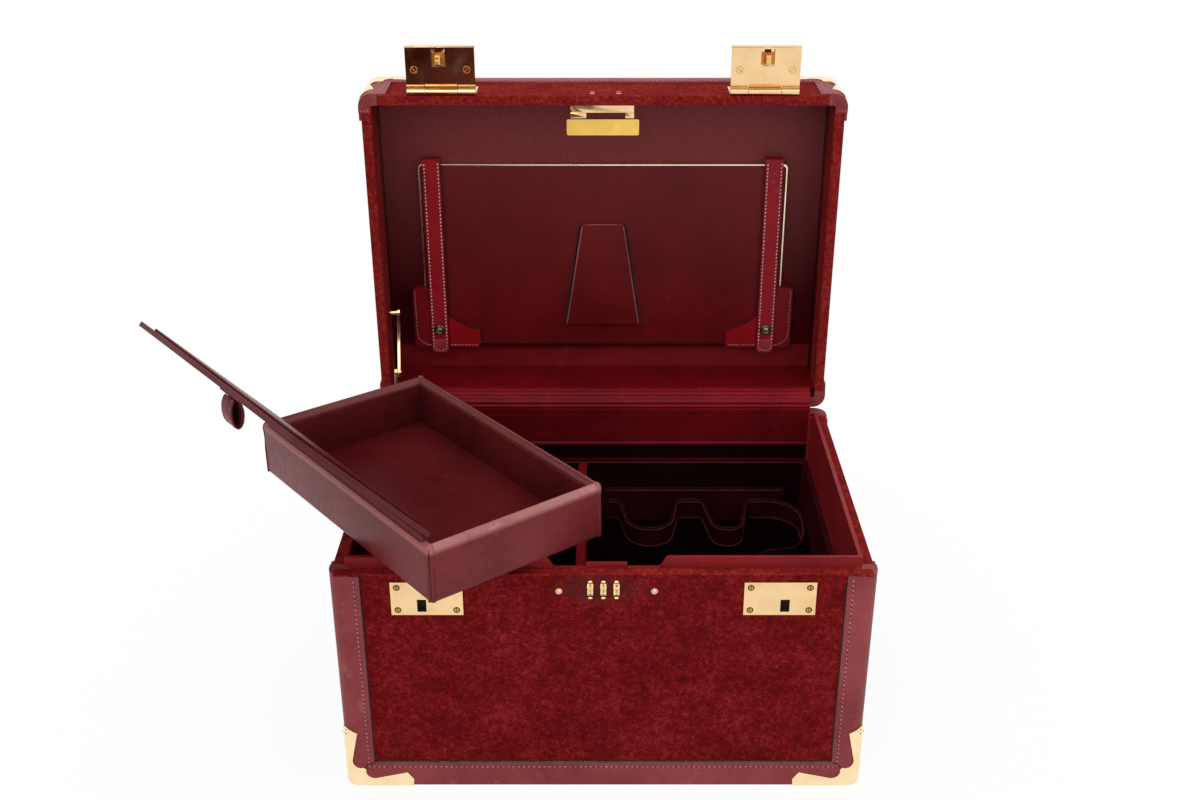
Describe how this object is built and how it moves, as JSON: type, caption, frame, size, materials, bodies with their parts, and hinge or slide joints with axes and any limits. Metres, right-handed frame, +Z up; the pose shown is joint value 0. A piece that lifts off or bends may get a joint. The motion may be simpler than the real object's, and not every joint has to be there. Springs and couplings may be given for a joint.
{
  "type": "vanity case",
  "caption": "Leather and suede hard vanity case drawn open: hinged lid with a strapped easel mirror, parked lift-out tray with its own lid, bottle loops, flip-up hasps and a combination lock.",
  "frame": {"origin": "centre of the flat underside, on the plane that the case stands on", "axes": "+Z up, +Y to the back (hinge side), +X to the right of someone facing the front"},
  "size_m": [0.4441, 0.3789, 0.4237],
  "materials": {
    "board": "raw board",
    "leather": "grained, semi-gloss",
    "dark_leather": "grained, semi-gloss",
    "red_leather": "smooth",
    "suede": "napped suede",
    "brass": "polished",
    "dark_brass": "polished",
    "mirror": "silvered"
  },
  "bodies": {
    "base": {"base_shell": "board", "base_front_panel": "suede", "base_cover": "leather", "base_edge_bands": "leather", "base_rim": "suede", "base_lip": "suede", "base_lining": "dark_leather", "base_back_pad": "dark_leather", "divider": "red_leather", "bottle_loops": "dark_leather", "base_corner_guards": "brass", "latch_plates": "brass", "latch_screws": "brass", "lock_case": "brass", "lock_axle": "brass", "hinge_leaf_base": "brass", "hinge_pin": "brass", "hinge_gusset": "leather", "stay_bracket": "brass"},
    "lid": {"lid_shell": "board", "lid_front_panel": "suede", "lid_cover": "leather", "lid_edge_bands": "leather", "lid_rim": "suede", "lid_lining": "dark_leather", "lid_corner_guards": "brass", "hinge_leaf_lid": "brass", "catch_bracket": "brass", "plain_plate": "brass", "mirror_glass": "mirror", "mirror_frame": "brass", "mirror_back": "dark_leather", "mirror_pockets": "red_leather", "stay_stud": "brass", "hasp_mounts": "brass", "hasp_pins": "brass", "handle_posts": "brass"},
    "tray": {"tray_shell": "leather", "tray_lining": "dark_leather"},
    "tray_lid_body": {"tray_lid": "leather", "tray_lid_pad": "dark_leather", "tray_loop": "leather"},
    "hasp_l": {"hasp_cover_left": "brass", "hasp_plate_left": "brass"},
    "hasp_r": {"hasp_cover_right": "brass", "hasp_plate_right": "brass"},
    "slide_l": {"hook_left": "brass"},
    "slide_r": {"hook_right": "brass"},
    "wheel_l": {"lock_wheel_left": "brass"},
    "wheel_c": {"lock_wheel_centre": "brass"},
    "wheel_r": {"lock_wheel_right": "brass"},
    "stay_lower": {"stay_lower_arm": "brass"},
    "stay_upper": {"stay_upper_arm": "brass"},
    "handle": {"handle_grip": "leather"},
    "strut": {"easel_strut": "dark_leather"},
    "strap_l": {"strap_left": "red_leather", "snap_left": "dark_brass"},
    "strap_r": {"strap_right": "red_leather", "snap_right": "dark_brass"}
  },
  "joints": [
    {"name": "lid_hinge", "type": "hinge", "parent": "base", "child": "lid", "pos_m": [0, 0.1173, 0.158], "axis": [1, 0, 0], "range_deg": [0, 89], "deforming": ["hinge_gusset"]},
    {"name": "tray_lift", "type": "slide", "parent": "base", "child": "tray", "axis": [-0.5495, -0.7493, 0.3696], "range_m": [0, 0.285]},
    {"name": "tray_lid_hinge", "type": "hinge", "parent": "tray", "child": "tray_lid_body", "pos_m": [-0.15832, -0.07805, 0.2042], "axis": [-0.6184, 0.7859, 0], "range_deg": [0, 132]},
    {"name": "hasp_left", "type": "hinge", "parent": "lid", "child": "hasp_l", "pos_m": [-0.1085, 0.1161, 0.39311], "axis": [1, 0, 0], "range_deg": [0, 90]},
    {"name": "hasp_right", "type": "hinge", "parent": "lid", "child": "hasp_r", "pos_m": [0.1085, 0.1161, 0.39311], "axis": [1, 0, 0], "range_deg": [0, 90]},
    {"name": "hook_left_slide", "type": "slide", "parent": "hasp_l", "child": "slide_l", "axis": [0, -0.0175, 0.9998], "range_m": [0, 0.003], "stiffness_N_per_m": 300},
    {"name": "hook_right_slide", "type": "slide", "parent": "hasp_r", "child": "slide_r", "axis": [0, -0.0175, 0.9998], "range_m": [0, 0.003], "stiffness_N_per_m": 300},
    {"name": "wheel_left", "type": "hinge", "parent": "base", "child": "wheel_l", "pos_m": [-0.0079, -0.1122, 0.1473], "axis": [1, 0, 0], "continuous": true},
    {"name": "wheel_centre", "type": "hinge", "parent": "base", "child": "wheel_c", "pos_m": [0, -0.1122, 0.1473], "axis": [1, 0, 0], "continuous": true},
    {"name": "wheel_right", "type": "hinge", "parent": "base", "child": "wheel_r", "pos_m": [0.0079, -0.1122, 0.1473], "axis": [1, 0, 0], "continuous": true},
    {"name": "stay_lower_pivot", "type": "hinge", "parent": "base", "child": "stay_lower", "pos_m": [-0.15, 0.095, 0.145], "axis": [1, 0, 0], "range_deg": [0, 35]},
    {"name": "stay_elbow", "type": "hinge", "parent": "stay_lower", "child": "stay_upper", "pos_m": [-0.15, 0.11219, 0.18904], "axis": [1, 0, 0], "range_deg": [0, 106]},
    {"name": "handle_pivot", "type": "hinge", "parent": "lid", "child": "handle", "pos_m": [0, 0.17014, 0.27624], "axis": [1, 0, 0], "range_deg": [0, 180]},
    {"name": "easel_strut", "type": "hinge", "parent": "lid", "child": "strut", "pos_m": [0, 0.14891, 0.28955], "axis": [1, 0, 0], "range_deg": [-60, 0]},
    {"name": "strap_left", "type": "hinge", "parent": "lid", "child": "strap_l", "pos_m": [-0.122, 0.15258, 0.33684], "axis": [1, 0, 0], "range_deg": [-80, 0]},
    {"name": "strap_right", "type": "hinge", "parent": "lid", "child": "strap_r", "pos_m": [0.122, 0.15258, 0.33684], "axis": [1, 0, 0], "range_deg": [-80, 0]}
  ],
  "couplings": [
    {"joint": "tray_lift", "follows": "lid_hinge", "m_per_rad": 0.18026},
    {"joint": "stay_lower_pivot", "follows": "lid_hinge", "ratio": 0.38985},
    {"joint": "stay_elbow", "follows": "lid_hinge", "ratio": 1.184}
  ]
}
